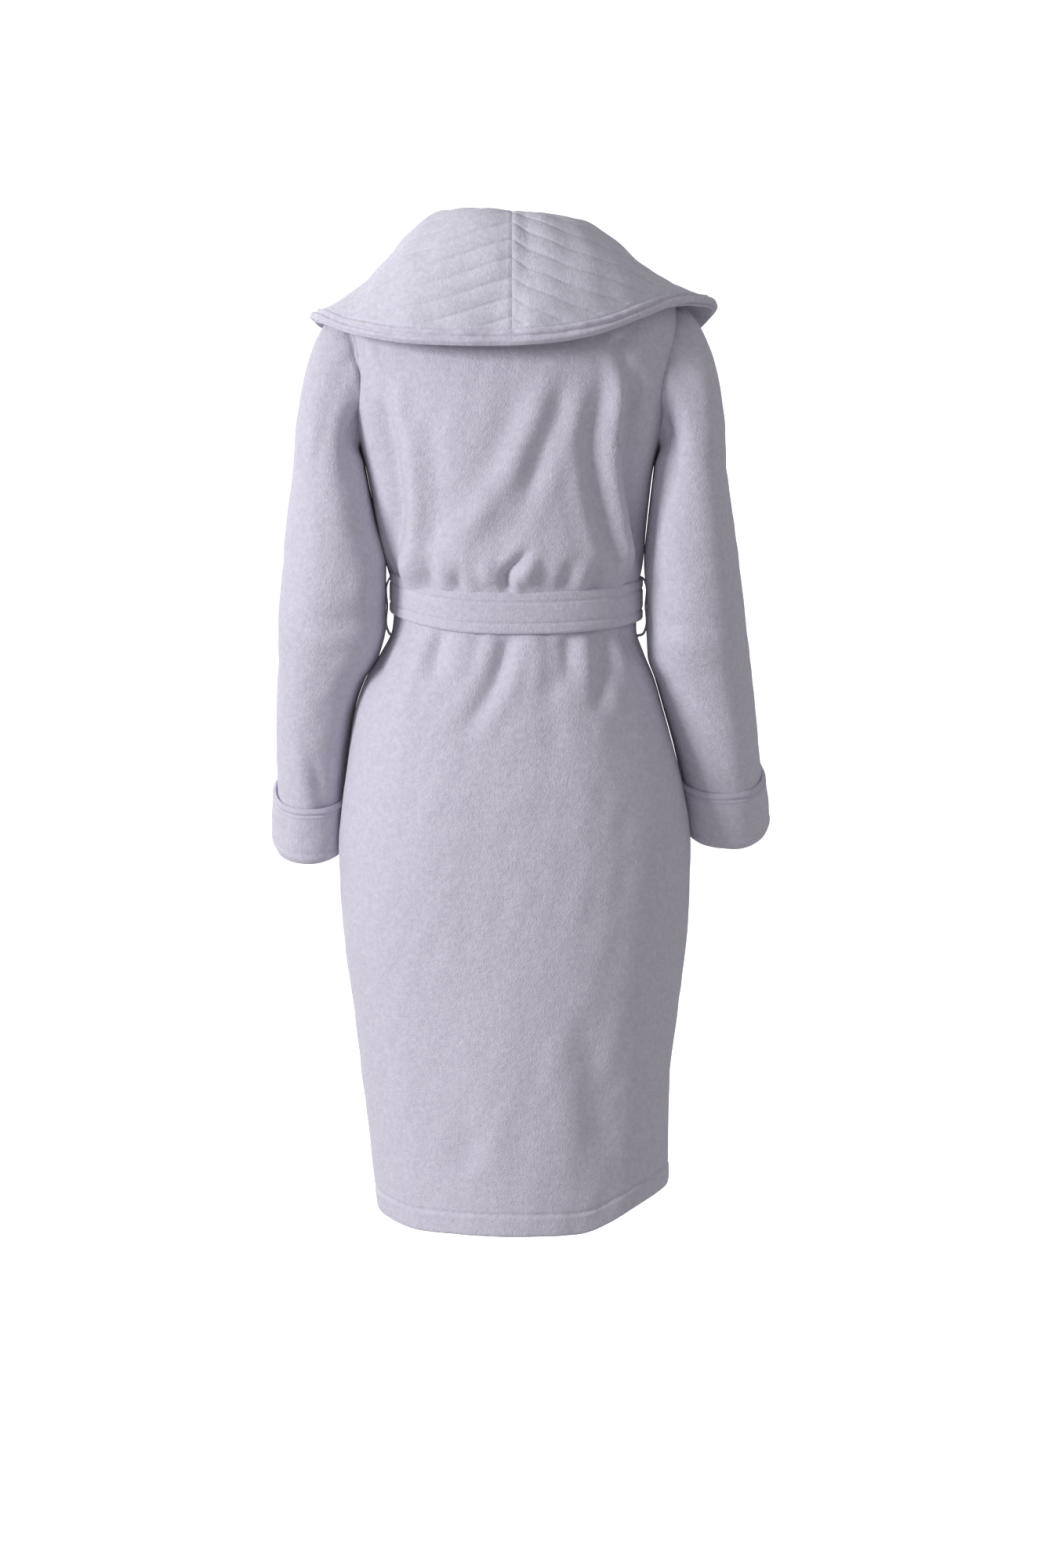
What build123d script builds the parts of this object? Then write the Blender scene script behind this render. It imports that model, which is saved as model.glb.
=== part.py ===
from build123d import *

import os
from math import sqrt

# A shawl-collar fleece bathrobe, wrapped left over right and tied, in the shape it takes when worn.
# Frame: millimetres, +Z up, +X towards the wearer's left, -Y towards the wearer's front.
# The origin is the middle of the neck opening, at the height of the back neck seam, and heights
# are given as drops below that seam.

os.makedirs("parts", exist_ok=True)

# Cloth
fleece = 4.0  # one layer of double-sided fleece
facing = 3.0  # turned-in layers and pocket cloth
tape = 1.2  # neck label
layer_gap = 0.6  # air between two layers of the collar
wrap_gap = 12.0  # how far the outer front stands off the inner one

# Heights
chest_drop = 240.0
waist_drop = 394.0
hip_drop = 660.0
robe_length = 1078.0

# Half widths and depths of the robe's body
neck_half, neck_back, neck_front = 74.0, 62.0, 58.0
shoulder_half, shoulder_back, shoulder_front = 188.0, 104.0, 98.0
chest_half, chest_back, chest_front = 163.0, 116.0, 118.0
waist_half, waist_back, waist_front = 132.0, 94.0, 104.0
hip_half, hip_back, hip_front = 194.0, 132.0, 120.0
hem_half, hem_back, hem_front = 160.0, 122.0, 124.0

# Sleeves: each hangs from a ball-shaped head that turns in a round armhole
armhole_radius = 75.0
armhole_x, armhole_drop = 150.0, 135.0
arm_clear = 15.0  # between a hanging sleeve and the belt loop
armhole_trim = 10.0  # the head is cut off this far inside the armhole's centre
sleeve_run = 0.5  # clearance of the head in the armhole
sleeve_end_drop = 683.0
wrist_half, wrist_depth, wrist_forward = 42.0, 64.0, 68.0
cuff_height = 52.0
cuff_wall = 5.0
cuff_overlap = 4.0  # how far the turned-back cuff reaches past the sleeve's end
piping_height, piping_wall = 5.0, 7.0

# Collar
collar_roll = 40.0  # height of the roll above the neck seam
collar_half, collar_back, collar_front = 215.0, 130.0, 128.0
collar_wall = 5.0
collar_fall = 101.0  # lowest point of the back edge
collar_side_fall = 60.0  # where that edge passes over the shoulder
rim_width = 20.0
neck_gape = 68.0  # half width of the open neck in front
wrap_reach = 50.0  # how far each front edge passes the middle

# Belt
belt_width, belt_thick = 46.0, 6.0
belt_clear = 2.5
belt_play = 8.0  # how far the belt rides up or down in its loops
knot_x, knot_width, knot_height, knot_thick = -18.0, 62.0, 50.0, 30.0
tail_length, tail_spread = 410.0, 56.0
tail_run = 0.4  # clearance of a tail's rounded end below the knot
loop_width, loop_thick, loop_clear = 12.0, 2.5, 1.0

# Pockets, hems and neck fittings
pocket_top, pocket_bottom = 535.0, 690.0
pocket_inner, pocket_outer = 62.0, 152.0
pocket_gap, pocket_band = 10.0, 28.0
hem_height = 25.0
facing_width = 62.0
hanger_width, hanger_length = 64.0, 40.0
hanger_strap, hanger_thick, hanger_clear = 7.0, 1.6, 0.5
label_width, label_height = 46.0, 20.0

LEFT, RIGHT = 1, -1  # the wearer's sides
BACK, FRONT = 1, -1
side_name = {LEFT: "left", RIGHT: "right"}
stand_off = {LEFT: wrap_gap, RIGHT: 0.0}  # the left front wraps over the right one
above, far, below = -90.0, 420.0, robe_length + 20

belt_top = waist_drop - belt_width / 2
belt_bottom = waist_drop + belt_width / 2
lapel_end = belt_top - belt_play - 6
belt_half = waist_half + 4 + belt_clear + belt_thick
belt_back = waist_back + 4 + belt_clear + belt_thick
belt_front = waist_front + 3 + wrap_gap + belt_clear + belt_thick
loop_reach = belt_half + loop_clear + loop_thick


def between(a, b, share):
    return a + (b - a) * share


ribs_drop = between(chest_drop, waist_drop - 36, 0.68)

# The body's outer face: (drop, half width, back depth, front depth, wall measured level)
body = [
    (0, neck_half, neck_back, neck_front, fleece),
    (14, between(neck_half, shoulder_half, 0.33), 76, 68, 1.8 * fleece),
    (36, between(neck_half, shoulder_half, 0.74), 88, 80, 1.8 * fleece),
    (64, shoulder_half - 2, 96, 90, 1.5 * fleece),
    (100, shoulder_half, shoulder_back, shoulder_front, fleece),
    (130, shoulder_half + 1, 110, 104, fleece),
    (190, between(shoulder_half, chest_half, 0.62), 116, 114, fleece),
    (chest_drop, chest_half, chest_back, chest_front, fleece),
    (ribs_drop, between(chest_half, waist_half, 0.5), 106, 113, fleece),
    (waist_drop - 36, waist_half + 3, waist_back + 3, waist_front + 3, fleece),
    (waist_drop, waist_half, waist_back, waist_front, fleece),
    (waist_drop + 36, waist_half + 4, waist_back + 4, waist_front + 2, fleece),
    (between(waist_drop, hip_drop, 0.34), between(waist_half, hip_half, 0.45), 112, 110, fleece),
    (between(waist_drop, hip_drop, 0.62), between(waist_half, hip_half, 0.8), 125, 116, fleece),
    (hip_drop, hip_half, hip_back, hip_front, fleece),
    (between(hip_drop, robe_length, 0.45), between(hip_half, hem_half, 0.3), 130, 124, fleece),
    (between(hip_drop, robe_length, 0.81), between(hip_half, hem_half, 0.8), 125, 125, fleece),
    (robe_length, hem_half, hem_back, hem_front, fleece),
]

# The collar's upper face: (drop, half width, back depth, front depth, wall measured level)
collar_rows = [
    (-collar_roll, neck_half + 10, neck_back + 8, neck_front + 8, 1.6 * collar_wall),
    (-16, neck_half + 44, neck_back + 28, neck_front + 18, 1.6 * collar_wall),
    (12, collar_half - 58, collar_back - 24, collar_front - 30, 1.6 * collar_wall),
    (38, collar_half - 26, collar_back - 12, collar_front - 18, 1.5 * collar_wall),
    (70, collar_half, collar_back, collar_front, 1.2 * collar_wall),
    (collar_fall + 10, collar_half + 2, collar_back + 8, collar_front + 14, collar_wall),
]


def at(rows, drop):
    """The row of sizes at a height, taken straight between the two rows around it."""
    for upper, lower in zip(rows, rows[1:]):
        if upper[0] <= drop <= lower[0]:
            share = (drop - upper[0]) / (lower[0] - upper[0])
            return [between(a, b, share) for a, b in zip(upper, lower)]
    raise ValueError(f"no row at a drop of {drop}")


def drops_between(rows, top, bottom):
    return [top] + [row[0] for row in rows if top + 0.5 < row[0] < bottom - 0.5] + [bottom]


def half_ring(drop, half, depth, wall, face):
    """A level C-shaped section of a half-oval wall, at the back or at the front."""
    start = 0 if face == BACK else 180
    with BuildSketch(Plane.XY.offset(-drop)) as section:
        with BuildLine():
            outer = EllipticalCenterArc((0, 0), half, depth, start, arc_size=180)
            inner = EllipticalCenterArc((0, 0), half - wall, depth - wall, start, arc_size=180)
            Line(outer @ 0, inner @ 0)
            Line(outer @ 1, inner @ 1)
        make_face()
    return section.sketch.faces()[0]


def layer(face, top=0.0, bottom=robe_length, out=0.0, wall=None, stand=0.0, inside=False):
    """Sections of a layer that follows the body.

    Its outer face lies `out` beyond the body's outer face, or beyond its inner face when inside.
    """
    sections = []
    for drop in drops_between(body, top, bottom):
        _, half, back, front, level_wall = at(body, drop)
        depth = back if face == BACK else front + stand
        reach = out - level_wall if inside else out
        thickness = level_wall if wall is None else wall
        sections.append(half_ring(drop, half + reach, depth + reach, thickness, face))
    return sections


def front_view(points):
    """A face in the XZ plane, from (x, drop) corners."""
    with BuildSketch(Plane.XZ) as view:
        with BuildLine():
            Polyline([(x, -drop) for x, drop in points], close=True)
        make_face()
    return view.sketch.faces()[0]


def keep(outline):
    """Keeps what lies inside an outline seen from the front."""
    extrude(outline, amount=far, both=True, mode=Mode.INTERSECT)


def rectangle(side, inner, outer, top, bottom):
    """An upright rectangle on one side, from its distances from the middle."""
    corners = [(inner, top), (outer, top), (outer, bottom), (inner, bottom)]
    return front_view([(side * x, drop) for x, drop in corners])


def cut_armholes():
    with Locations((armhole_x, 0, -armhole_drop), (-armhole_x, 0, -armhole_drop)):
        Sphere(armhole_radius, mode=Mode.SUBTRACT)


def save(piece, name):
    piece.part.label = name
    export_step(piece.part, f"parts/{name}.step")


def neckline(side):
    """The front edge, from above the neck down the V and on below the belt."""
    points = [(neck_gape, above), (neck_gape, 5), (-wrap_reach, lapel_end)]
    return [(side * x, drop) for x, drop in points]


# ---- Body panels ----

with BuildPart() as back_panel:
    loft(layer(BACK), ruled=True)
    cut_armholes()
save(back_panel, "back_panel")


def make_front(side):
    edge = neckline(side) + [(-side * wrap_reach, below), (side * far, below), (side * far, above)]
    with BuildPart() as panel:
        loft(layer(FRONT, stand=stand_off[side]), ruled=True)
        keep(front_view(edge))
        cut_armholes()
    save(panel, f"front_panel_{side_name[side]}")
    return panel


fronts = {side: make_front(side) for side in (LEFT, RIGHT)}

# ---- Turned-in layers: front facings and hems ----

hem_top = robe_length - hem_height
for side in (LEFT, RIGHT):
    with BuildPart() as front_facing:
        sections = layer(
            FRONT, belt_bottom + belt_play, hem_top, wall=facing, stand=stand_off[side], inside=True
        )
        loft(sections, ruled=True)
        keep(rectangle(side, -wrap_reach, facing_width - wrap_reach, above, below))
    save(front_facing, f"front_facing_{side_name[side]}")

    with BuildPart() as front_hem:
        loft(layer(FRONT, hem_top, wall=facing, stand=stand_off[side], inside=True), ruled=True)
        keep(rectangle(side, -wrap_reach, far, above, below))
    save(front_hem, f"hem_band_{side_name[side]}")

with BuildPart() as back_hem:
    loft(layer(BACK, hem_top, wall=facing, inside=True), ruled=True)
save(back_hem, "hem_band_back")

# ---- Patch pockets, open at the top ----

for side in (LEFT, RIGHT):
    bag, stand = pocket_gap + facing, stand_off[side]
    with BuildPart() as hollow:
        loft(layer(FRONT, pocket_top, pocket_bottom - facing, pocket_gap, bag, stand), ruled=True)
        keep(rectangle(side, pocket_inner + facing, pocket_outer - facing, above, below))

    with BuildPart() as pocket:
        loft(layer(FRONT, pocket_top, pocket_bottom, bag, bag, stand), ruled=True)
        keep(rectangle(side, pocket_inner, pocket_outer, above, below))
        add(hollow.part, mode=Mode.SUBTRACT)
    save(pocket, f"pocket_{side_name[side]}")

    with BuildPart() as band:
        band_bottom = pocket_top + pocket_band
        loft(layer(FRONT, pocket_top, band_bottom, bag + facing, facing, stand), ruled=True)
        keep(rectangle(side, pocket_inner, pocket_outer, above, below))
    save(band, f"pocket_band_{side_name[side]}")

# ---- Collar: ribbed facing on top, under collar and neck stand beneath, rolled rim ----


def lapel_rows(side):
    """The collar's rows, run on down the front over the panel on that side."""
    rows = list(collar_rows)
    rows.append((160, collar_half + 2, 0, collar_front + 14, fleece))
    proud = layer_gap + fleece
    for drop in drops_between(body, 200, lapel_end):
        _, half, _, front, _ = at(body, drop)
        rows.append((drop, half + proud, 0, front + stand_off[side] + proud, fleece))
    return rows


def back_edge(side, trim):
    """What the collar covers seen from behind, with its edge raised by `trim`."""
    start = (0, trim - collar_fall)
    middle = (side * 0.6 * collar_half, trim - between(collar_fall, collar_side_fall, 0.5))
    end = (side * (collar_half + 10), trim - collar_side_fall)
    with BuildSketch(Plane.XZ) as view:
        with BuildLine():
            edge = ThreePointArc(start, middle, end)
            Polyline(edge @ 1, (side * far, end[1]), (side * far, -above), (0, -above), edge @ 0)
        make_face()
    return view.sketch.faces()[0]


def lapel_edge(side, trim):
    """What the collar covers seen from the front, with its outer edge moved in by `trim`."""
    tip_drop = 78
    outer = [
        (25 - 0.7 * trim, lapel_end),
        (78 - 0.9 * trim, between(tip_drop, lapel_end, 0.74)),
        (120 - trim, between(tip_drop, lapel_end, 0.49)),
        (140 - trim, between(tip_drop, lapel_end, 0.35)),
        (160 - trim, between(tip_drop, lapel_end, 0.22) - 0.5 * trim),
        (185 - 0.7 * trim, 100 - 0.7 * trim),
        (collar_half - 5 - 0.5 * trim, tip_drop - 0.9 * trim),
        (far, collar_side_fall + 12 - trim),
        (far, above),
    ]
    return front_view(neckline(side) + [(side * x, drop) for x, drop in outer])


def collar_layer(face, side, inset, wall, outline, hole=None, bottom=lapel_end):
    """One quarter of a collar layer, its outer face `inset` below the collar's upper face."""
    rows = lapel_rows(side)
    sections = []
    for drop in drops_between(rows, -collar_roll, bottom):
        _, half, back, front, level_wall = at(rows, drop)
        slope = level_wall / collar_wall
        depth = (back if face == BACK else front) - inset * slope
        sections.append(half_ring(drop, half - inset * slope, depth, wall * slope, face))
    with BuildPart() as quarter:
        loft(sections, ruled=True)
        keep(outline)
        if hole:
            extrude(hole, amount=far, both=True, mode=Mode.SUBTRACT)
    return quarter.part


back_bottom = collar_fall + 10
rim_proud = 1.5
under_inset = collar_wall + layer_gap
under_trim = 3.0
under_bottom = 130.0
roll_slope = collar_rows[0][4] / collar_wall
stand_top_half, stand_top_back, stand_top_front = [
    size - under_inset * roll_slope for size in collar_rows[0][1:4]
]

for side in (LEFT, RIGHT):
    behind, before = back_edge(side, rim_width), lapel_edge(side, rim_width)
    with BuildPart() as ribbed:
        add(collar_layer(BACK, side, 0, collar_wall, behind, bottom=back_bottom))
        add(collar_layer(FRONT, side, 0, collar_wall, before))
    save(ribbed, f"collar_{side_name[side]}")

    rim_wall = collar_wall + rim_proud
    with BuildPart() as rim:
        add(collar_layer(BACK, side, -rim_proud, rim_wall, back_edge(side, 0), behind, back_bottom))
        add(collar_layer(FRONT, side, -rim_proud, rim_wall, lapel_edge(side, 0), before))
    save(rim, f"collar_rim_{side_name[side]}")

    behind, before = back_edge(side, under_trim), lapel_edge(side, under_trim)
    back_stand = [
        half_ring(0, neck_half, neck_back, fleece, BACK),
        half_ring(-collar_roll, stand_top_half, stand_top_back, fleece, BACK),
    ]
    front_stand = [
        half_ring(0, neck_half, neck_front, fleece, FRONT),
        half_ring(-collar_roll, stand_top_half, stand_top_front, fleece, FRONT),
    ]
    with BuildPart() as under:
        loft(back_stand, ruled=True)
        keep(rectangle(side, 0, far, above, below))
    with BuildPart() as under_front:
        loft(front_stand, ruled=True)
        keep(rectangle(side, neck_gape, far, above, below))
    with BuildPart() as under_collar:
        add(under.part)
        add(under_front.part)
        add(collar_layer(BACK, side, under_inset, facing, behind, bottom=back_bottom))
        add(collar_layer(FRONT, side, under_inset, facing, before, bottom=under_bottom))
    save(under_collar, f"under_collar_{side_name[side]}")

# ---- Neck fittings ----

with BuildPart() as neck_label:
    loft(layer(BACK, 2, 2 + label_height, wall=tape, inside=True), ruled=True)
    keep(rectangle(LEFT, -label_width / 2, label_width / 2, above, below))
save(neck_label, "neck_label")

neck_inner_half, neck_inner_back = neck_half - fleece, neck_back - fleece
hanger_y = neck_inner_back * sqrt(1 - (hanger_width / 2 / neck_inner_half) ** 2)
hanger_y -= hanger_clear + hanger_thick / 2
hanger_pivot = 4.0
hanger_middle = -hanger_pivot - hanger_length / 2
with BuildPart() as hanger_loop:
    with BuildSketch(Plane.XZ.offset(-hanger_y)):
        with Locations((0, hanger_middle)):
            RectangleRounded(hanger_width, hanger_length, hanger_strap)
            opening = (hanger_width - 2 * hanger_strap, hanger_length - 2 * hanger_strap)
            Rectangle(*opening, mode=Mode.SUBTRACT)
    extrude(amount=hanger_thick / 2, both=True)
save(hanger_loop, "hanger_loop")

# ---- Sleeves and cuffs ----

past_loops = loop_reach + arm_clear - waist_half


def forearm_drop(share):
    """A height between just below the belt and the sleeve's end."""
    return between(waist_drop + 36, sleeve_end_drop, share)


# (drop, gap from the body's side, forward of its middle, half width, half depth)
sleeve_rows = [
    (150, -24, 0, 30, 60),
    (205, 1.5, -1, 34, 70),
    (chest_drop, 4, -3, 39, 74),
    (ribs_drop, 13, -8, 45, 74),
    (waist_drop - 36, past_loops - 3, -8, 47, 73),
    (waist_drop, past_loops, -8, 48, 72),
    (waist_drop + 36, past_loops - 4, -4, 48, 70),
    (forearm_drop(0.22), 11, 12, 46, 69),
    (forearm_drop(0.36), 8, 22, 44, 68),
    (sleeve_end_drop - 123, 3, 36, 43, 67),
    (sleeve_end_drop - 83, 1, 50, 42, 66),
    (sleeve_end_drop - 43, 1, 60, 42, 65),
    (sleeve_end_drop, 2, wrist_forward, wrist_half, wrist_depth),
]


def oval(side, drop, grow):
    """The sleeve's level section, grown all round."""
    _, gap, forward, half_width, half_depth = at(sleeve_rows, drop)
    centre = side * (at(body, drop)[1] + gap + half_width)
    with BuildSketch(Plane.XY.offset(-drop)) as section:
        with Locations((centre, -forward)):
            Ellipse(half_width + grow, half_depth + grow)
    return section.sketch.faces()[0]


def tube(side, top, bottom, grow):
    return [oval(side, drop, grow) for drop in drops_between(sleeve_rows, top, bottom)]


def sleeve_ring(side, top, bottom, wall):
    """A band round the outside of the sleeve."""
    with BuildPart() as ring:
        loft(tube(side, top, bottom, wall), ruled=True)
        loft(tube(side, top, bottom, 0), ruled=True, mode=Mode.SUBTRACT)
    return ring


sleeve_top = sleeve_rows[0][0]
head_radius = armhole_radius - sleeve_run
cuff_bottom = sleeve_end_drop
cuff_top = cuff_bottom - cuff_height
for side in (LEFT, RIGHT):
    kept = Keep.TOP if side == LEFT else Keep.BOTTOM
    with BuildPart() as sleeve:
        with Locations((side * armhole_x, 0, -armhole_drop)):
            Sphere(head_radius)
        loft(tube(side, sleeve_top, sleeve_end_drop, 0), ruled=True)
        with Locations((side * armhole_x, 0, -armhole_drop)):
            Sphere(head_radius - fleece, mode=Mode.SUBTRACT)
        loft(tube(side, sleeve_top, sleeve_end_drop, -fleece), ruled=True, mode=Mode.SUBTRACT)
        split(bisect_by=Plane.YZ.offset(side * (armhole_x - armhole_trim)), keep=kept)
    save(sleeve, f"sleeve_{side_name[side]}")

    save(sleeve_ring(side, cuff_top, cuff_bottom, cuff_wall), f"cuff_{side_name[side]}")
    piping = sleeve_ring(side, cuff_top - piping_height, cuff_top, piping_wall)
    save(piping, f"cuff_piping_{side_name[side]}")

# ---- Belt, its loops, knot and tails ----

with BuildPart() as belt:
    for face, depth in ((BACK, belt_back), (FRONT, belt_front)):
        ends = [half_ring(drop, belt_half, depth, belt_thick, face) for drop in (belt_top, belt_bottom)]
        loft(ends, ruled=True)
save(belt, "belt")

knot_bottom = waist_drop + knot_height / 2
with BuildPart() as belt_knot:
    with BuildSketch(Plane.XZ.offset(belt_front - belt_thick)):
        with Locations((knot_x, -waist_drop)):
            RectangleRounded(knot_width, knot_height, knot_height * 0.3)
    extrude(amount=knot_thick + belt_thick)
    fillet(belt_knot.faces().sort_by(Axis.Y)[0].edges(), radius=knot_thick * 0.35)
    with BuildSketch(Plane.XY.offset(-knot_bottom)):
        Ellipse(belt_half, belt_front)
    extrude(amount=knot_height, mode=Mode.SUBTRACT)
save(belt_knot, "belt_knot")

tail_y = -(belt_front + knot_thick / 2)
tail_pivot = knot_bottom + belt_thick / 2 + tail_run
for side in (LEFT, RIGHT):
    with BuildPart() as tail:
        middle = knot_x + side * tail_spread / 2
        with BuildSketch(Plane.YZ.offset(middle)):
            with Locations((tail_y, -tail_pivot)):
                Circle(belt_thick / 2)
            with Locations((tail_y, -tail_pivot - tail_length / 2)):
                Rectangle(belt_thick, tail_length)
        extrude(amount=belt_width / 2, both=True)
    save(tail, f"belt_tail_{side_name[side]}")

loop_rise = belt_width / 2 + belt_play + loop_clear
for side in (LEFT, RIGHT):
    with BuildPart() as belt_loop:
        root_x = waist_half + 3.5 - fleece / 2
        with BuildSketch(Plane.XZ):
            with Locations((side * (root_x + loop_reach) / 2, -waist_drop)):
                Rectangle(loop_reach - root_x, 2 * (loop_rise + loop_thick))
            with Locations((side * (root_x + loop_reach - loop_thick) / 2, -waist_drop)):
                Rectangle(loop_reach - loop_thick - root_x, 2 * loop_rise, mode=Mode.SUBTRACT)
        extrude(amount=loop_width / 2, both=True)
        add(back_panel.part, mode=Mode.SUBTRACT)
        add(fronts[side].part, mode=Mode.SUBTRACT)
    save(belt_loop, f"belt_loop_{side_name[side]}")
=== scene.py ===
import math

import bmesh
import bpy
import numpy as np
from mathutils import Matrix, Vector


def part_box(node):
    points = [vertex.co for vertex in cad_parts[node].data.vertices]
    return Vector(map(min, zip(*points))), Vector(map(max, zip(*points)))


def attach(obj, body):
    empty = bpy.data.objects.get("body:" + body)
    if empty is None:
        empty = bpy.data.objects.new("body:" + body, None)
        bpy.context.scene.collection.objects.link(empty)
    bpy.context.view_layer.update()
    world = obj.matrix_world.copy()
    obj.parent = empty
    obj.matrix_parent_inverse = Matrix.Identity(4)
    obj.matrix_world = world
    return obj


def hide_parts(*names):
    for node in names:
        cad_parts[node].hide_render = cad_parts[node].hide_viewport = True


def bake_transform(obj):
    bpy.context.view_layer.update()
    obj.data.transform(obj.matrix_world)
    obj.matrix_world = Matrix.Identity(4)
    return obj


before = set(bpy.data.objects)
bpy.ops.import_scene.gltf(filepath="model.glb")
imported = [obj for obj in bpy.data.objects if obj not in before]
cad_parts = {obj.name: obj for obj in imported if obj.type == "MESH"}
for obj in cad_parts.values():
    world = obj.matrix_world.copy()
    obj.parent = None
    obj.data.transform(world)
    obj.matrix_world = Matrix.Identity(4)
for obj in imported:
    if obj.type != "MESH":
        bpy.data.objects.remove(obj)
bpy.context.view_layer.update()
mm = 0.001
left, right = 1, -1  # the wearer's sides; the wearer's left is +X and the front is -Y
sideWord = {left: "left", right: "right"}
pieces = {}

# the belt and the hem are where the frame has them; a drop is how far below the neck a place is, in mm
beltLow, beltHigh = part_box("belt")
beltMiddle = (beltLow.z + beltHigh.z) / 2
beltDrop = -beltMiddle / mm
hemDrop = -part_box("back_panel")[0].z * 1000


# ---- camera and studio ----

studio = {
    "cameraAt": (-0.0113, 4.5, -0.051),
    "pitchDown": 6.87,
    "lens": 93.1,
    "keyLight": {"at": (4.1, 2.6, 0.9), "target": (0, 0, -0.45), "size": 1.5, "power": 200},
    "frontKey": {"at": (2.0, -3.4, 0.9), "target": (0, 0, -0.5), "size": 1.8, "power": 80},
    "worldLight": 0.43,
}
sweepShape = {"floorDrop": 1.45, "reach": 18.0, "bend": 4.0, "top": 14.0, "steps": 10, "sides": 64}


def addCamera():
    camera = bpy.data.objects.new("camera", bpy.data.cameras.new("camera"))
    camera.data.sensor_fit = "VERTICAL"
    camera.data.sensor_height = 36
    camera.data.lens = studio["lens"]
    camera.location = studio["cameraAt"]
    camera.rotation_euler = (math.radians(90 - studio["pitchDown"]), 0, math.pi)
    bpy.context.scene.collection.objects.link(camera)
    bpy.context.scene.camera = camera


def addAreaLight(name, at, target, size, power):
    lamp = bpy.data.lights.new(name, "AREA")
    lamp.size = size
    lamp.energy = power
    light = bpy.data.objects.new(name, lamp)
    light.location = at
    away = np.array(at) - np.array(target)
    tilt = math.atan2(math.hypot(away[0], away[1]), away[2])
    light.rotation_euler = (tilt, 0, math.atan2(away[0], -away[1]))
    bpy.context.scene.collection.objects.link(light)


def addStudio():
    for name in ("keyLight", "frontKey"):
        addAreaLight(name, **studio[name])
    world = bpy.data.worlds.new("studioWhite")
    world.use_nodes = True
    background = world.node_tree.nodes["Background"]
    background.inputs["Color"].default_value = (1, 1, 1, 1)
    background.inputs["Strength"].default_value = studio["worldLight"]
    bpy.context.scene.world = world
    bpy.context.scene.view_settings.view_transform = "Standard"


def addSweep():
    # a round white sweep, so that every side is seen against the same plain background
    reach, bend, steps, sides = (sweepShape[name] for name in ("reach", "bend", "steps", "sides"))
    floor = -sweepShape["floorDrop"]
    profile = []
    for i in range(steps + 1):
        turn = math.pi / 2 * i / steps
        profile.append((reach - bend + bend * math.sin(turn), floor + bend * (1 - math.cos(turn))))
    profile.append((reach, sweepShape["top"]))
    spin = np.linspace(0, 2 * math.pi, sides, endpoint=False)
    points = [(0, 0, floor)] + [(r * math.cos(a), r * math.sin(a), z) for r, z in profile for a in spin]
    faces = [(0, 1 + i, 1 + (i + 1) % sides) for i in range(sides)]
    for r in range(len(profile) - 1):
        for i in range(sides):
            a, b = 1 + r * sides + i, 1 + r * sides + (i + 1) % sides
            faces.append((a, a + sides, b + sides, b))
    mesh = bpy.data.meshes.new("sweep")
    mesh.from_pydata(points, [], faces)
    sweep = bpy.data.objects.new("sweep", mesh)
    bpy.context.scene.collection.objects.link(sweep)
    paper = bpy.data.materials.new("whitePaper")
    paper.use_nodes = True
    shader = paper.node_tree.nodes["Principled BSDF"]
    shader.inputs["Base Color"].default_value = (0.9, 0.9, 0.9, 1)
    shader.inputs["Roughness"].default_value = 0.9
    shader.inputs["Specular IOR Level"].default_value = 0.0
    shader.inputs["Emission Color"].default_value = (1, 1, 1, 1)
    shader.inputs["Emission Strength"].default_value = 1.0
    mesh.materials.append(paper)
    # it is seen, but neither lights nor shades the robe
    sweep.visible_diffuse = sweep.visible_glossy = sweep.visible_shadow = False


addCamera()
addStudio()
addSweep()
print("studio ready")


# ---- smooth curves and fields ----


def curveShares(t):
    # how much of its far end, its leaving slope and its arriving slope a curve has at t, from 0 to 1
    return 3 * t**2 - 2 * t**3, t**3 - 2 * t**2 + t, t**3 - t**2


def throughRows(rows, places):
    # smooth values at places, through rows of (place, value, ...), with no overshoot
    table = np.array(rows, float)
    x, y = table[:, 0], table[:, 1:]
    slope = np.diff(y, axis=0) / np.diff(x)[:, None]
    both = slope[:-1] * slope[1:]
    inner = np.where(both > 0, 2 * both / (slope[:-1] + slope[1:] + (both <= 0)), 0)
    tangent = np.vstack([slope[:1], inner, slope[-1:]])
    places = np.clip(np.asarray(places, float), x[0], x[-1])
    i = np.clip(np.searchsorted(x, places) - 1, 0, len(x) - 2)
    gap = (x[i + 1] - x[i])[..., None]
    rise, leaving, arriving = curveShares((places - x[i])[..., None] / gap)
    bend = tangent[i] * leaving + tangent[i + 1] * arriving
    return y[i] * (1 - rise) + y[i + 1] * rise + bend * gap


def throughPoints(points, count):
    # a smooth curve through points, sampled evenly by its parameter
    p = np.array(points, float)
    s = np.concatenate([[0], np.cumsum(np.linalg.norm(np.diff(p, axis=0), axis=1))])
    tangent = np.gradient(p, s, axis=0)
    u = np.linspace(0, s[-1], count)
    i = np.clip(np.searchsorted(s, u) - 1, 0, len(s) - 2)
    gap = (s[i + 1] - s[i])[:, None]
    rise, leaving, arriving = curveShares((u - s[i])[:, None] / gap)
    bend = tangent[i] * leaving + tangent[i + 1] * arriving
    return p[i] * (1 - rise) + p[i + 1] * rise + bend * gap


def smoothStep(low, high, value):
    t = np.clip((value - low) / (high - low), 0, 1)
    return t * t * (3 - 2 * t)


def hump(value, centre, width):
    return np.exp(-(((value - centre) / width) ** 2))


def unit(v):
    return v / (np.linalg.norm(v, axis=-1, keepdims=True) + 1e-12)


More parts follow.
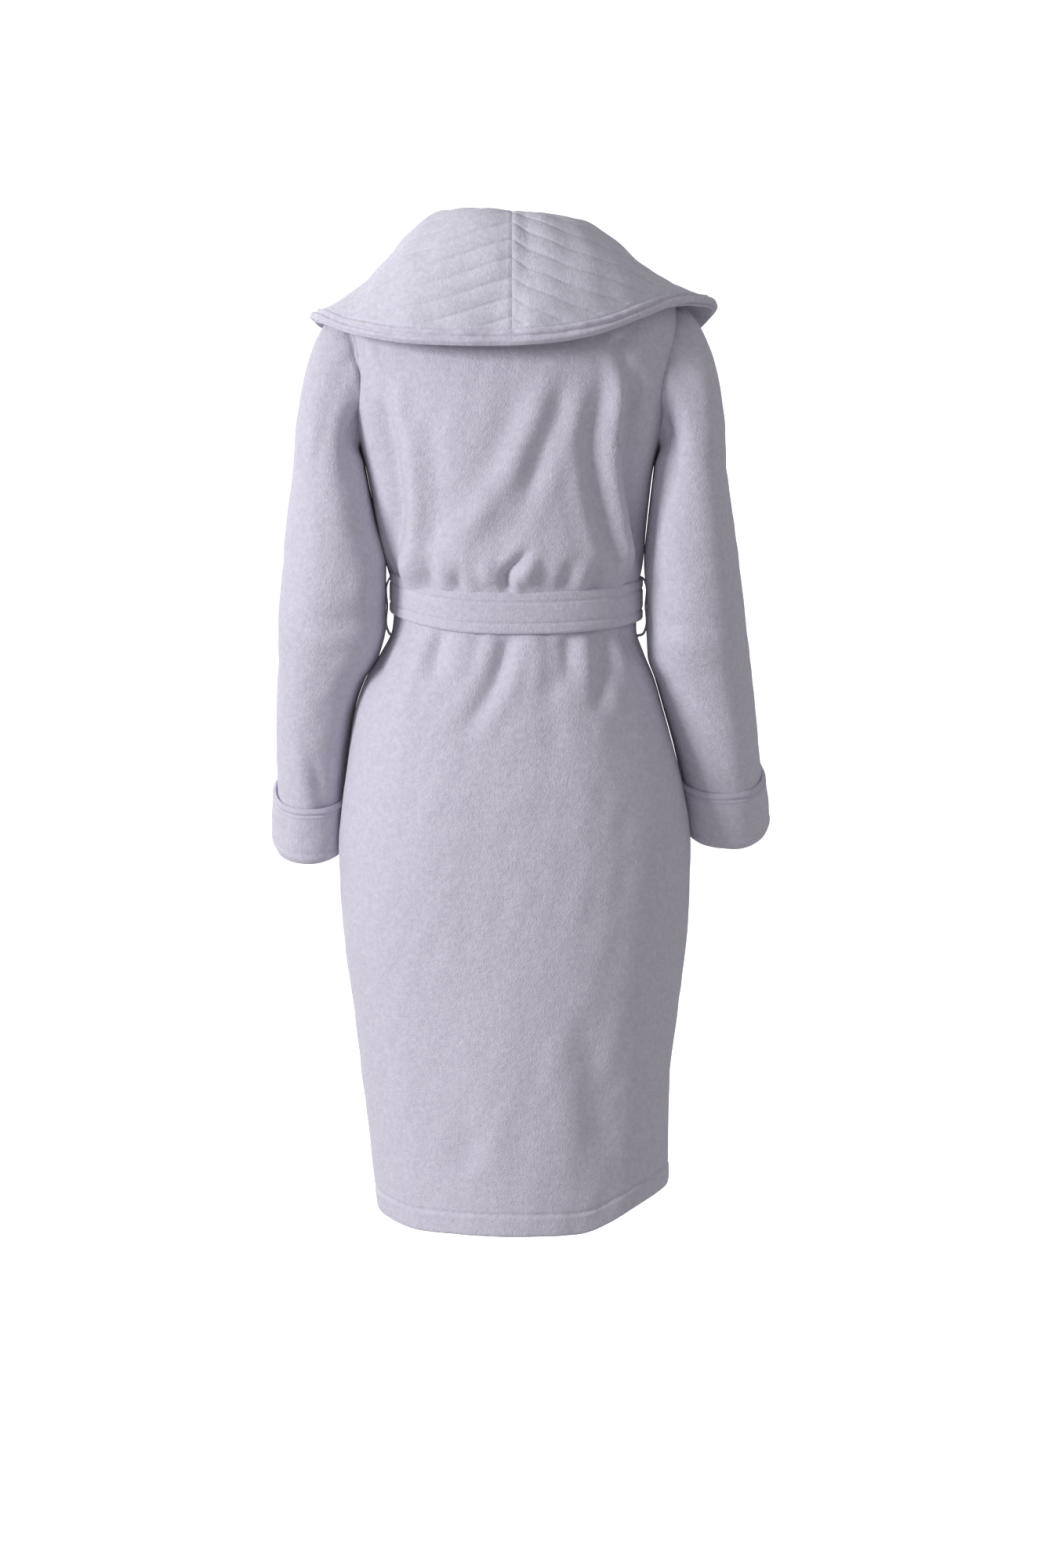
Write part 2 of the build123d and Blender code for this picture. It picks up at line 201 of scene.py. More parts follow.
def waves(points, size, seed, stretch=(1, 1, 1), count=26):
    # a smooth uneven field from about -1 to 1, with swells about `size` across
    draw = np.random.default_rng(seed)
    heading = unit(draw.normal(size=(count, 3)))
    waveLength = size * draw.uniform(0.75, 1.6, (count, 1))
    k = heading * (2 * math.pi / waveLength) / np.array(stretch)
    phase = draw.uniform(0, 2 * math.pi, count)
    flat = points.reshape(-1, 3)
    total = np.cos(flat @ k.T + phase).sum(axis=1) / math.sqrt(count)
    return total.reshape(points.shape[:-1])


foldStrength, foldWidth = 1.35, 0.85  # all drawn creases are scaled by these


def foldField(points, folds):
    # folds are (route of (x, z) in mm, height in mm, width in mm, fade at start, fade at end)
    x, z = points[..., 0] / mm, points[..., 2] / mm
    total = np.zeros(x.shape)
    for route, height, width, fadeStart, fadeEnd in folds:
        height, width = height * foldStrength, width * foldWidth
        line = throughPoints([(px, pz, 0) for px, pz in route], 24)[:, :2]
        best = np.full(x.shape, 1e9)
        share = np.zeros(x.shape)
        for i in range(len(line) - 1):
            a, b = line[i], line[i + 1]
            step = b - a
            t = np.clip(((x - a[0]) * step[0] + (z - a[1]) * step[1]) / (step @ step), 0, 1)
            distance = np.hypot(x - a[0] - t * step[0], z - a[1] - t * step[1])
            nearer = distance < best
            best = np.where(nearer, distance, best)
            share = np.where(nearer, (i + t) / (len(line) - 1), share)
        # a ridge with a shallow dip beside it
        shape = hump(best, 0, width) - 0.35 * hump(best, 2.1 * width, width)
        if fadeStart:
            shape = shape * smoothStep(0, fadeStart, share)
        if fadeEnd:
            shape = shape * smoothStep(0, fadeEnd, 1 - share)
        total += height * shape
    return total * mm


# ---- cloth meshes ----


def gridNormals(grid, ring):
    along = np.gradient(grid, axis=0)
    if ring:
        across = (np.roll(grid, -1, axis=1) - np.roll(grid, 1, axis=1)) / 2
    else:
        across = np.gradient(grid, axis=1)
    normal = unit(np.cross(along, across))
    centre = grid.mean(axis=1, keepdims=True) if ring else grid.mean(axis=(0, 1))
    turned = (normal * (grid - centre)).sum() < 0
    return (-normal if turned else normal), turned


def quadArea(grid, ring):
    nextColumn = np.roll(grid, -1, axis=1) if ring else grid[:, 1:]
    here = grid if ring else grid[:, :-1]
    a, b = nextColumn[:-1] - here[:-1], here[1:] - here[:-1]
    c, d = here[1:] - nextColumn[1:], nextColumn[:-1] - nextColumn[1:]
    one = np.linalg.norm(np.cross(a, b), axis=-1)
    two = np.linalg.norm(np.cross(c, d), axis=-1)
    return float((one + two).sum() / 2)


def newPiece(name, points, faces):
    mesh = bpy.data.meshes.new(name)
    mesh.from_pydata(points, [], faces)
    mesh.validate()
    mesh.shade_smooth()
    piece = bpy.data.objects.new(name, mesh)
    bpy.context.scene.collection.objects.link(piece)
    return piece


def clothMesh(name, grid, thick, ring=False):
    # a grid of middle points becomes closed cloth with round edges; ring joins its last column to its first
    rows, cols = grid.shape[:2]
    normal, turned = gridNormals(grid, ring)
    half = np.broadcast_to(np.asarray(thick, float) / 2, grid.shape[:2])[..., None]
    top, under = grid + normal * half, grid - normal * half
    count = rows * cols
    index = np.arange(count).reshape(rows, cols)
    points = [top.reshape(-1, 3), under.reshape(-1, 3)]
    faces = []

    a, b = index[:-1], index[1:]
    if ring:
        aNext, bNext = np.roll(a, -1, axis=1), np.roll(b, -1, axis=1)
    else:
        a, b, aNext, bNext = a[:, :-1], b[:, :-1], a[:, 1:], b[:, 1:]
    quads = np.stack([a, b, bNext, aNext], axis=-1).reshape(-1, 4)
    faces.append(quads[:, ::-1] if turned else quads)
    faces.append((quads if turned else quads[:, ::-1]) + count)

    def addRim(loop, inward, offset):
        # a half-round edge along a closed loop of points; inward is each one's neighbour inside the cloth
        edge = grid.reshape(-1, 3)[loop]
        n = normal.reshape(-1, 3)[loop]
        h = half.reshape(-1, 1)[loop]
        out = edge - grid.reshape(-1, 3)[inward]
        out = unit(out - n * (out * n).sum(axis=1, keepdims=True))
        loops = [loop]
        for turn in (45, 90, 135):
            t = math.radians(turn)
            points.append(edge + out * h * math.sin(t) + n * h * math.cos(t))
            loops.append(np.arange(len(loop)) + offset)
            offset += len(loop)
        loops.append(loop + count)
        for one, two in zip(loops, loops[1:]):
            faces.append(np.stack([one, np.roll(one, -1), np.roll(two, -1), two], axis=-1))
        return offset

    offset = 2 * count
    if ring:
        first, last = index[:2], index[:-3:-1, ::-1]
        if turned:
            first, last = first[:, ::-1], last[:, ::-1]
        offset = addRim(first[0], first[1], offset)
        addRim(last[0], last[1], offset)
    else:
        r, c = np.arange(rows), np.arange(cols)
        way = [(0, k) for k in c[:-1]] + [(k, cols - 1) for k in r[:-1]]
        way += [(rows - 1, k) for k in c[:0:-1]] + [(k, 0) for k in r[:0:-1]]
        if turned:
            way = way[::-1]
        inward = [index[min(max(i, 1), rows - 2), min(max(j, 1), cols - 2)] for i, j in way]
        addRim(np.array([index[p] for p in way]), np.array(inward), offset)

    piece = newPiece(name, np.concatenate(points).tolist(), np.concatenate(faces).tolist())
    piece["clothArea"] = quadArea(grid, ring)
    return piece


def tidyNormals(piece):
    work = bmesh.new()
    work.from_mesh(piece.data)
    bmesh.ops.recalc_face_normals(work, faces=work.faces)
    work.to_mesh(piece.data)
    work.free()


def shiftAlongNormals(grid, amount, ring=False):
    normal, _ = gridNormals(grid, ring)
    return grid + normal * amount[..., None]


def addPiece(piece, node, body, slotName):
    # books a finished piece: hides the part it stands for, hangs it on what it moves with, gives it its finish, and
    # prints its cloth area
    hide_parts(node)
    if body:
        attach(piece, body)
    piece.data.materials.clear()
    piece.data.materials.append(finishes[slotName])
    pieces[node] = piece
    print(node, "cloth area", round(piece.get("clothArea", 0), 3))
    return piece


# ---- finishes ----

def look(colour, dark, pile, grain, sheen):
    # linear colours, how deep the pile is in metres, how fine its grain is, and its sheen
    return {"colour": colour, "dark": dark, "pile": pile, "grain": grain, "sheen": sheen}


cloths = {
    "fleece": look((0.67, 0.64, 0.74), (0.58, 0.55, 0.66), 0.0018, 520, 0.35),
    "ribbed_fleece": look((0.70, 0.68, 0.77), (0.60, 0.58, 0.68), 0.0014, 560, 0.3),
    "collar_rim": look((0.68, 0.65, 0.75), (0.56, 0.53, 0.64), 0.0012, 560, 0.35),
    "belt_fleece": look((0.66, 0.63, 0.73), (0.57, 0.54, 0.65), 0.0014, 560, 0.35),
    "facing_fleece": look((0.64, 0.61, 0.71), (0.55, 0.52, 0.63), 0.0010, 640, 0.3),
    "piping": look((0.60, 0.57, 0.68), (0.52, 0.49, 0.60), 0.0007, 800, 0.25),
    "hanger_tape": look((0.60, 0.58, 0.67), (0.52, 0.50, 0.60), 0.0003, 900, 0.1),
    "label_satin": look((0.80, 0.79, 0.82), (0.74, 0.73, 0.78), 0.0001, 900, 0.1),
}
clothRoughness, satinRoughness = 0.95, 0.45


def makeFinish(name, cloth):
    material = bpy.data.materials.new(name)
    material.use_nodes = True
    nodes, links = material.node_tree.nodes, material.node_tree.links
    shader = nodes["Principled BSDF"]
    place = nodes.new("ShaderNodeTexCoord").outputs["Object"]

    def noise(scale, detail, rough=0.55):
        made = nodes.new("ShaderNodeTexNoise")
        made.inputs["Scale"].default_value = scale
        made.inputs["Detail"].default_value = detail
        made.inputs["Roughness"].default_value = rough
        links.new(place, made.inputs["Vector"])
        return made.outputs["Fac"]

    def plus(a, b, shareB):
        made = nodes.new("ShaderNodeMath")
        made.operation = "MULTIPLY_ADD"
        links.new(b, made.inputs[0])
        made.inputs[1].default_value = shareB
        links.new(a, made.inputs[2])
        return made.outputs[0]

    # slow blotches and fine specks of the brushed pile
    mottle = plus(noise(cloth["grain"] * 0.35, 3), noise(120, 2), 0.16)
    ramp = nodes.new("ShaderNodeValToRGB")
    ends = ramp.color_ramp.elements
    ends[0].position, ends[1].position = 0.4, 0.8
    ends[0].color, ends[1].color = (*cloth["dark"], 1), (*cloth["colour"], 1)
    links.new(mottle, ramp.inputs["Fac"])
    links.new(ramp.outputs["Color"], shader.inputs["Base Color"])
    pile = plus(noise(cloth["grain"], 4, 0.65), noise(cloth["grain"] * 0.3, 2), 0.5)
    bump = nodes.new("ShaderNodeBump")
    bump.inputs["Strength"].default_value = 0.8
    bump.inputs["Distance"].default_value = cloth["pile"]
    links.new(pile, bump.inputs["Height"])
    links.new(bump.outputs["Normal"], shader.inputs["Normal"])
    shader.inputs["Roughness"].default_value = clothRoughness
    shader.inputs["Specular IOR Level"].default_value = 0.12
    shader.inputs["Sheen Weight"].default_value = cloth["sheen"]
    shader.inputs["Sheen Roughness"].default_value = 0.5
    return material


finishes = {name: makeFinish(name, cloth) for name, cloth in cloths.items()}
satinShader = finishes["label_satin"].node_tree.nodes["Principled BSDF"]
satinShader.inputs["Roughness"].default_value = satinRoughness
print("finishes made", len(finishes))


# ---- the body of the robe ----

# level rings down the robe: drop, half width at the wearer's left and right, depth at back and front
bodyRows = (
    (0, 74, 74, 62, 58),
    (14, 98, 98, 74, 70),
    (36, 142, 142, 88, 84),
    (62, 178, 178, 98, 92),
    (100, 186, 186, 106, 100),
    (137, 183, 181, 113, 108),
    (190, 173, 168, 117, 115),
    (240, 160, 154, 116, 118),
    (300, 148, 147, 112, 116),
    (345, 137, 142, 107, 113),
    (370, 130, 138, 100, 107),
    (394, 127, 136, 95, 103),
    (418, 129, 136, 98, 105),
    (448, 145, 145, 108, 110),
    (475, 161, 156, 114, 112),
    (510, 173, 166, 121, 114),
    (557, 180, 179, 127, 116),
    (600, 185, 189, 131, 118),
    (665, 191, 196, 132, 120),
    (740, 189, 194, 131, 121),
    (860, 175, 183, 128, 122),
    (960, 163, 174, 125, 123),
    (1078, 150, 172, 122, 124),
)
# drop of the armhole's middle, half its height, and how many degrees it cuts in
armhole = {"middle": 137, "halfTall": 75, "turn": 27}
fleeceThick = 4.2
backSeed, frontSeed = 11, {left: 17, right: 29}
bodyFullness = 0.035  # how much squarer than an oval each ring is
panelRows = {"shoulder": 18, "armhole": 46, "gap": 4.0, "hemFrom": 1040, "hem": 26}
hem = {"welt": 22, "stitchDeep": 2.4, "stitchWide": 1.8, "weltHigh": 1.8}


def bodyPoint(turn, drop):
    # a place on the robe in metres; turn is degrees from the back centre towards the wearer's left,
    # so that 180 is the middle of the front
    turn, drop = np.broadcast_arrays(np.asarray(turn, float), np.asarray(drop, float))
    rows = throughRows(bodyRows, drop)
    a = np.radians(turn)
    onLeft = np.sin(a) >= 0
    wide = np.where(onLeft, rows[..., 0], rows[..., 1])
    deep = np.where(np.cos(a) >= 0, rows[..., 2], rows[..., 3])
    full = 1 + bodyFullness * np.sin(2 * a) ** 2
    return np.stack([wide * full * np.sin(a), deep * full * np.cos(a), -drop], axis=-1) * mm


def frontTurnAtX(x, drop):
    # the turn at which the front of the ring at this drop is x mm to the wearer's left
    rows = throughRows(bodyRows, drop)
    wide = np.where(np.asarray(x) >= 0, rows[..., 0], rows[..., 1])
    return 180 - np.degrees(np.arcsin(np.clip(x / wide, -1, 1)))


def armholeDrop(phi):
    # drop of the armhole's edge, for phi from 0 at its top to 180 at the armpit
    return armhole["middle"] - armhole["halfTall"] * np.cos(np.radians(phi))


def hemLift(points):
    # the hem rises towards the sides, more on the wearer's right
    x, z = points[..., 0] / mm, -points[..., 2] / mm
    near = smoothStep(hemDrop - 420, hemDrop, z)
    rise = np.where(x > 0, 10 * smoothStep(100, 160, x), 36 * smoothStep(70, 180, -x))
    return near * rise * mm


def bodyDrops():
    # the rows of a panel, closer together over the shoulder, round the armhole and at the hem
    top, foot = armhole["middle"] - armhole["halfTall"], armhole["middle"] + armhole["halfTall"]
    shoulder = np.linspace(0, top, panelRows["shoulder"])[:-1]
    around = armholeDrop(np.linspace(0, 180, panelRows["armhole"]))
    torso = np.arange(foot + panelRows["gap"], panelRows["hemFrom"], panelRows["gap"])
    lowest = np.linspace(panelRows["hemFrom"], hemDrop, panelRows["hem"])
    return np.concatenate([shoulder, around, torso, lowest])


def sideCut(drops):
    # how far the panel's edge is from the side seam at each drop, in degrees
    inside = np.clip((drops - armhole["middle"]) / armhole["halfTall"], -1, 1)
    return armhole["turn"] * np.sqrt(np.clip(1 - inside**2, 0, 1))


# creases of the back: route in (x, z) mm, height, width, fades at start and end; most start at the belt
backFolds = (
    (((-48, -122), (-16, -205), (37, -289), (89, -336)), 3.4, 17, 0.25, 0.3),
    (((-63, -129), (-31, -213), (-10, -281)), -3.2, 13, 0.3, 0.3),
    (((2, -372), (6, -353), (-13, -330), (-26, -315)), -4.5, 6, 0.0, 0.5),
    (((-14, -362), (-16, -350), (-31, -332)), 3.0, 9, 0.2, 0.5),
    (((23, -362), (26, -350), (30, -333)), 2.6, 10, 0.2, 0.5),
    (((-139, -112), (-131, -171), (-129, -239), (-135, -315), (-137, -361)), -6, 10, 0.25, 0.1),
    (((-121, -104), (-116, -154), (-107, -230), (-118, -306), (-125, -361)), 3.5, 11, 0.25, 0.2),
    (((-97, -137), (-84, -205), (-95, -281), (-116, -353)), -4, 11, 0.3, 0.1),
    (((146, -129), (135, -205), (125, -272), (128, -361)), -6, 11, 0.2, 0.0),
    (((113, -171), (104, -239), (103, -306), (110, -361)), 3.5, 13, 0.3, 0.1),
    (((175, -87), (161, -137), (145, -180)), -3.5, 9, 0.1, 0.5),
    (((-115, -91), (-124, -137), (-129, -171)), -3.5, 9, 0.1, 0.5),
    (((54, -374), (57, -353), (52, -333)), -3, 8, 0, 0.6),
    (((-53, -373), (-58, -350), (-65, -327)), -3, 8, 0, 0.6),
    (((-86, -370), (-91, -349), (-97, -327)), -4, 8, 0, 0.6),
    (((89, -371), (88, -349), (92, -327)), -3, 8, 0, 0.6),
    (((1, -419), (16, -460), (42, -507), (64, -538)), -4, 11, 0, 0.5),
    (((-104, -421), (-98, -468), (-88, -518)), -4, 11, 0, 0.5),
    (((-122, -419), (-132, -442), (-142, -461)), -4, 9, 0, 0.5),
    (((137, -421), (146, -455), (156, -487)), -4, 9, 0, 0.5),
    (((-31, -419), (-28, -451), (-16, -485)), 2.6, 13, 0, 0.5),
    (((79, -421), (83, -451), (90, -477)), -2.6, 11, 0, 0.5),
    (((-59, -421), (-60, -451), (-57, -485)), -2.6, 10, 0, 0.5),
    (((-74, -796), (-88, -910), (-103, -1015)), -2.4, 22, 0.4, 0.2),
    (((46, -949), (51, -1015)), -1.8, 18, 0.4, 0.3),
)


def drapeBody(points, drops, turns, seed):
    # how far the cloth stands off the plain rings, from creases, gathers at the belt and slow unevenness
    a = np.radians(turns)
    belt, halfBelt = beltDrop, 24
    gatherAbove = np.exp(-np.clip(belt - halfBelt - drops, 0, None) / 34) * (drops < belt)
    gatherBelow = np.exp(-np.clip(drops - (belt + halfBelt), 0, None) / 62) * (drops >= belt)
    pleats = np.cos(15 * a + 0.8) + 0.7 * np.cos(23 * a + 2.1) + 0.5 * np.cos(34 * a + 0.3)
    underBelt = 1 - 0.8 * hump(drops, belt, halfBelt)
    amount = pleats * (1.0 * gatherAbove + 1.25 * gatherBelow) * underBelt
    amount += 7.0 * hump(drops, belt - 56, 24)  # bloused above the belt
    amount += 1.1 * waves(points, 0.11, seed, (0.8, 0.8, 2.2))
    amount += 0.35 * waves(points, 0.028, seed + 1, (1, 1, 1.4))
    amount += 1.6 * smoothStep(560, 1000, drops) * np.cos(5 * a + 0.9 + 0.6 * np.sin(drops / 260))
    onBack = smoothStep(-10, 30, points[..., 1] / mm)
    calm = 1 - 0.85 * hump(np.abs(turns), 90, 16) * smoothStep(640, 560, drops)
    free = smoothStep(20, 34, np.abs(drops - belt))
    return calm * (amount * mm + onBack * free * foldField(points, backFolds))


def stitchLine(distance, width=2.2):
    # 1 along the stitches and 0 away from them
    return np.exp(-((distance / width) ** 2))


def panelThick(drops):
    # a stitched groove along the top of the turned-up hem, and thicker cloth below it
    welt = hemDrop - hem["welt"] - drops
    groove = hem["stitchDeep"] * stitchLine(welt, hem["stitchWide"])
    return fleeceThick - groove + hem["weltHigh"] * smoothStep(0, 4, -welt)


def makeBackPanel():
    drops = bodyDrops()
    edge = 90 - sideCut(drops)
    share = np.linspace(-1, 1, 221)
    turns = edge[:, None] * share[None]
    allDrops = np.broadcast_to(drops[:, None], turns.shape)
    grid = bodyPoint(turns, allDrops)
    grid = shiftAlongNormals(grid, drapeBody(grid, allDrops, turns, backSeed))
    grid[..., 2] += hemLift(grid)
    piece = clothMesh("backPanel", grid, panelThick(allDrops) * mm)
    addPiece(piece, "back_panel", "root", "fleece")


# (x, drop) where each front's free edge starts, and where its slope across the chest ends
lapelV = {"top": (68, 5), "foot": (50, 357)}
wrapGap = 12  # how far the wearer's left front stands off the right one
facing = {"wide": 62, "thick": 3, "rowGap": 5.0, "above": 26, "inside": 4.6}
hemBand = {"tall": 25, "thick": 3, "inside": 5.0}


def frontEdge(side, drop):
    # x of a front panel's free edge: it slopes across the chest, then runs straight down
    (topX, topDrop), (footX, footDrop) = lapelV["top"], lapelV["foot"]
    share = np.clip((drop - topDrop) / (footDrop - topDrop), 0, 1)
    return side * (topX - (topX + footX) * share)


def wrapLift(side, x):
    # the wearer's left front lies over the right one
    return wrapGap * smoothStep(-75, 0, 75 - np.abs(x)) if side == left else 0 * x


def frontGrid(side, drops, fromShare, toShare, cols, lift=0.0):
    # share 0 is the side seam or armhole and 1 is the free edge; lift is mm out of the cloth's middle
    start = 90 + sideCut(drops)
    edgeX = frontEdge(side, drops)
    rows = throughRows(bodyRows, drops)
    own, other = (0, 1) if side == left else (1, 0)
    wide = np.where(side * edgeX >= 0, rows[:, own], rows[:, other])
    end = 180 - np.degrees(np.arcsin(np.clip(side * edgeX / wide, -1, 1)))
    share = np.linspace(fromShare, toShare, cols)
    turns = side * (start[:, None] + (end - start)[:, None] * share[None])
    allDrops = np.broadcast_to(drops[:, None], turns.shape)
    return frontCloth(side, turns, allDrops, lift), turns, allDrops


def frontCloth(side, turns, drops, lift=0.0):
    grid = bodyPoint(turns, drops)
    x = grid[..., 0] / mm
    a = np.radians(turns)
    out = np.stack([np.sin(a), np.cos(a), 0 * a], axis=-1)
    amount = drapeBody(grid, drops, turns, frontSeed[side]) / mm
    amount = amount + wrapLift(side, x) + lift
    grid = grid + out * (amount * mm)[..., None]
    grid[..., 2] += hemLift(grid)
    return grid


def makeFronts():
    for side in (left, right):
        grid, _, allDrops = frontGrid(side, bodyDrops(), 0, 1, 190)
        fromEdge = np.abs(grid[..., 0] / mm - frontEdge(side, allDrops))
        thick = panelThick(allDrops) - 1.6 * stitchLine(fromEdge - 12)
        word = sideWord[side]
        piece = clothMesh("frontPanel" + word.title(), grid, thick * mm)
        addPiece(piece, "front_panel_" + word, "root", "fleece")


def makeFacings():
    # the strip folded back inside each front edge
    foot = hemDrop - facing["above"]
    drops = np.concatenate([np.arange(20, foot, facing["rowGap"]), [foot]])
    for side in (left, right):
        grid, turns, _ = frontGrid(side, drops, 0, 1, 190)
        # how far each place is from the free edge, measured along the cloth
        reach = np.linalg.norm(np.diff(grid, axis=1), axis=-1)[:, ::-1].cumsum(axis=1)[:, ::-1]
        reach = np.hstack([reach, np.zeros((len(drops), 1))]) / mm
        places = np.linspace(facing["wide"], 1.5, 22)
        turns = np.array([np.interp(places, r[::-1], t[::-1]) for r, t in zip(reach, turns)])
        grid = frontCloth(side, turns, np.broadcast_to(drops[:, None], turns.shape), -facing["inside"])
        word = sideWord[side]
        piece = clothMesh("facing" + word.title(), grid, facing["thick"] * mm)
        addPiece(piece, "front_facing_" + word, "root", "facing_fleece")


def makeHemBands():
    # the turned-up hem inside the back and each front
    drops = np.linspace(hemDrop - hemBand["tall"] - 1, hemDrop - 2, 9)
    turns = np.broadcast_to(np.linspace(-87, 87, 180)[None], (len(drops), 180))
    allDrops = np.broadcast_to(drops[:, None], turns.shape)
    grid = bodyPoint(turns, allDrops)
    grid = shiftAlongNormals(grid, drapeBody(grid, allDrops, turns, backSeed) - hemBand["inside"] * mm)
    grid[..., 2] += hemLift(grid)
    piece = clothMesh("hemBandBack", grid, hemBand["thick"] * mm)
    addPiece(piece, "hem_band_back", "root", "facing_fleece")
    for side in (left, right):
        grid, _, _ = frontGrid(side, drops, 0.03, 0.985, 120, -hemBand["inside"])
        word = sideWord[side]
        piece = clothMesh("hemBand" + word.title(), grid, hemBand["thick"] * mm)
        addPiece(piece, "hem_band_" + word, "root", "facing_fleece")


makeBackPanel()
makeFronts()
makeFacings()
makeHemBands()


# ---- patch pockets ----

pocket = {"inner": 64, "outer": 150, "top": 537, "bottom": 690, "gap": 8, "band": 28, "thick": 3.4}


def pocketCloth(side, top, bottom, extra, thick):
    # the pocket lies on the front, open at the top, and closes down to the panel at its other edges
    drops = np.concatenate([[top], np.arange(top + 3, bottom, 3.0), [bottom]])
    x = np.linspace(pocket["inner"], pocket["outer"], 60)
    across, down = np.meshgrid(x, drops)
    turns = side * frontTurnAtX(across, down)
    fromSide = np.minimum(across - pocket["inner"], pocket["outer"] - across)
    fromEdge = np.minimum(fromSide, pocket["bottom"] - down)
    sag = 0.5 + 0.5 * smoothStep(640, 545, down)
    lift = 3.0 + pocket["gap"] * smoothStep(0, 20, fromEdge) * sag + extra
    return frontCloth(side, turns, down, lift), thick - 1.4 * stitchLine(fromEdge - 5, 1.8), down


def makePockets():
    for side in (left, right):
        word = sideWord[side]
        grid, thickness, _ = pocketCloth(side, pocket["top"] + 2, pocket["bottom"], 0, pocket["thick"])
        piece = clothMesh("pocket" + word.title(), grid, thickness * mm)
        addPiece(piece, "pocket_" + word, "root", "fleece")
        grid, thickness, down = pocketCloth(side, pocket["top"], pocket["top"] + pocket["band"], 3.2, 2.8)
        thickness = thickness - 1.2 * stitchLine(down - pocket["top"] - pocket["band"] + 4, 1.8)
        piece = clothMesh("pocketBand" + word.title(), grid, thickness * mm)
        addPiece(piece, "pocket_band_" + word, "root", "fleece")


# ---- sleeves and cuffs ----

# level sections of each sleeve: drop, inner x, outer x, y of its middle, half its depth
sleeveRows = {
    left: (
        (240, 165, 240, 1, 73), (300, 152.5, 248, 6, 75), (345, 142, 252, 7, 74), (394, 142.5, 257, 7, 73),
        (418, 143, 258, 5, 72), (448, 150, 258, -3, 70), (475, 166, 259, -12, 69), (510, 178, 260, -23, 68),
        (557, 185, 261, -39, 67), (600, 189, 263, -54, 66), (640, 191, 266, -64, 65), (683, 192, 269, -70, 64),
    ),
    right: (
        (240, 159, 235, 1, 73), (300, 152, 244, 6, 75), (345, 148, 250, 7, 74), (394, 151.5, 255, 7, 73),
        (418, 151.5, 258, 5, 72), (448, 152.5, 262, 0, 70), (475, 161, 265, -7, 69), (510, 171, 269, -16, 68),
        (557, 184, 274, -30, 67), (600, 193, 279, -42, 66), (640, 197, 284, -52, 65), (683, 200, 288, -58, 64),
    ),
}
headDrop = 240
headOut = {left: 128, right: 122}  # how strongly each sleeve head stands out over the shoulder
sleeveColumns = 150
cuff = {"tall": 56, "stand": 4.6, "thick": 4.8, "tip": 0.33}
cuffEnd = {left: 661, right: 642}  # drop of the middle of each cuff's lower edge

# creases of each sleeve: turn round it (0 outside, 90 back, 180 body side), drop, height,
# widths across and along, slant
sleeveFolds = {
    left: (
        (100, 140, 4.5, 12, 60, 0.16), (128, 170, -5.0, 10, 62, 0.15), (150, 240, 4.0, 12, 60, 0.05),
        (82, 205, -3.0, 14, 60, 0.22), (110, 300, 3.2, 22, 52, 0.12), (132, 360, 4.0, 26, 26, 0.0),
        (120, 402, -4.0, 30, 13, 0.0), (105, 424, 3.4, 34, 14, 0.3), (70, 560, 2.8, 15, 44, -0.35),
        (105, 600, -3.0, 14, 40, -0.35), (210, 420, 4.0, 30, 13, 0.0), (250, 445, -4.0, 34, 12, 0.0),
        (285, 462, 3.4, 30, 14, 0.0), (250, 180, -4.0, 16, 60, -0.15), (40, 500, 1.8, 26, 60, 0.1),
    ),
    right: (
        (98, 150, 3.4, 13, 55, 0.16), (126, 180, -4.2, 10, 60, 0.15), (150, 250, 3.2, 12, 60, 0.05),
        (70, 260, 1.8, 26, 70, 0.1), (105, 380, 2.2, 34, 24, 0.0), (120, 408, -2.6, 30, 12, 0.0),
        (100, 430, 2.0, 34, 14, 0.0), (210, 420, 4.0, 30, 13, 0.0), (250, 440, -3.6, 34, 12, 0.0),
        (285, 462, 3.0, 30, 14, 0.0), (250, 180, -4.0, 16, 60, -0.15), (60, 560, 1.6, 26, 60, 0.1),
    ),
}


def sleeveRing(side, phi, drop, grow=0.0):
    # a level section: phi 0 is the outside, 90 the back and 180 next to the body
    rows = throughRows(sleeveRows[side], drop)
    a = np.radians(phi)
    middle, half = (rows[..., 0] + rows[..., 1]) / 2, (rows[..., 1] - rows[..., 0]) / 2
    full = 1 + 0.05 * np.sin(2 * a) ** 2
    x = middle + (half * full + grow) * np.cos(a)
    outwards = (rows[..., 3] * full + grow) * np.sin(a)
    # the forearm reaches forward, so the section tips and its front rises
    tip = cuff["tip"] * smoothStep(470, cuffEnd[side], drop)
    return np.stack([side * x, rows[..., 2] + outwards, -drop - tip * outwards], axis=-1) * mm


def armholeLoop(side, phi):
    # places on the body where the sleeve is sewn in, level with the sleeve's own phi
    turn = 90 - armhole["turn"] * np.sin(np.radians(phi))
    return bodyPoint(side * turn, armholeDrop(phi))


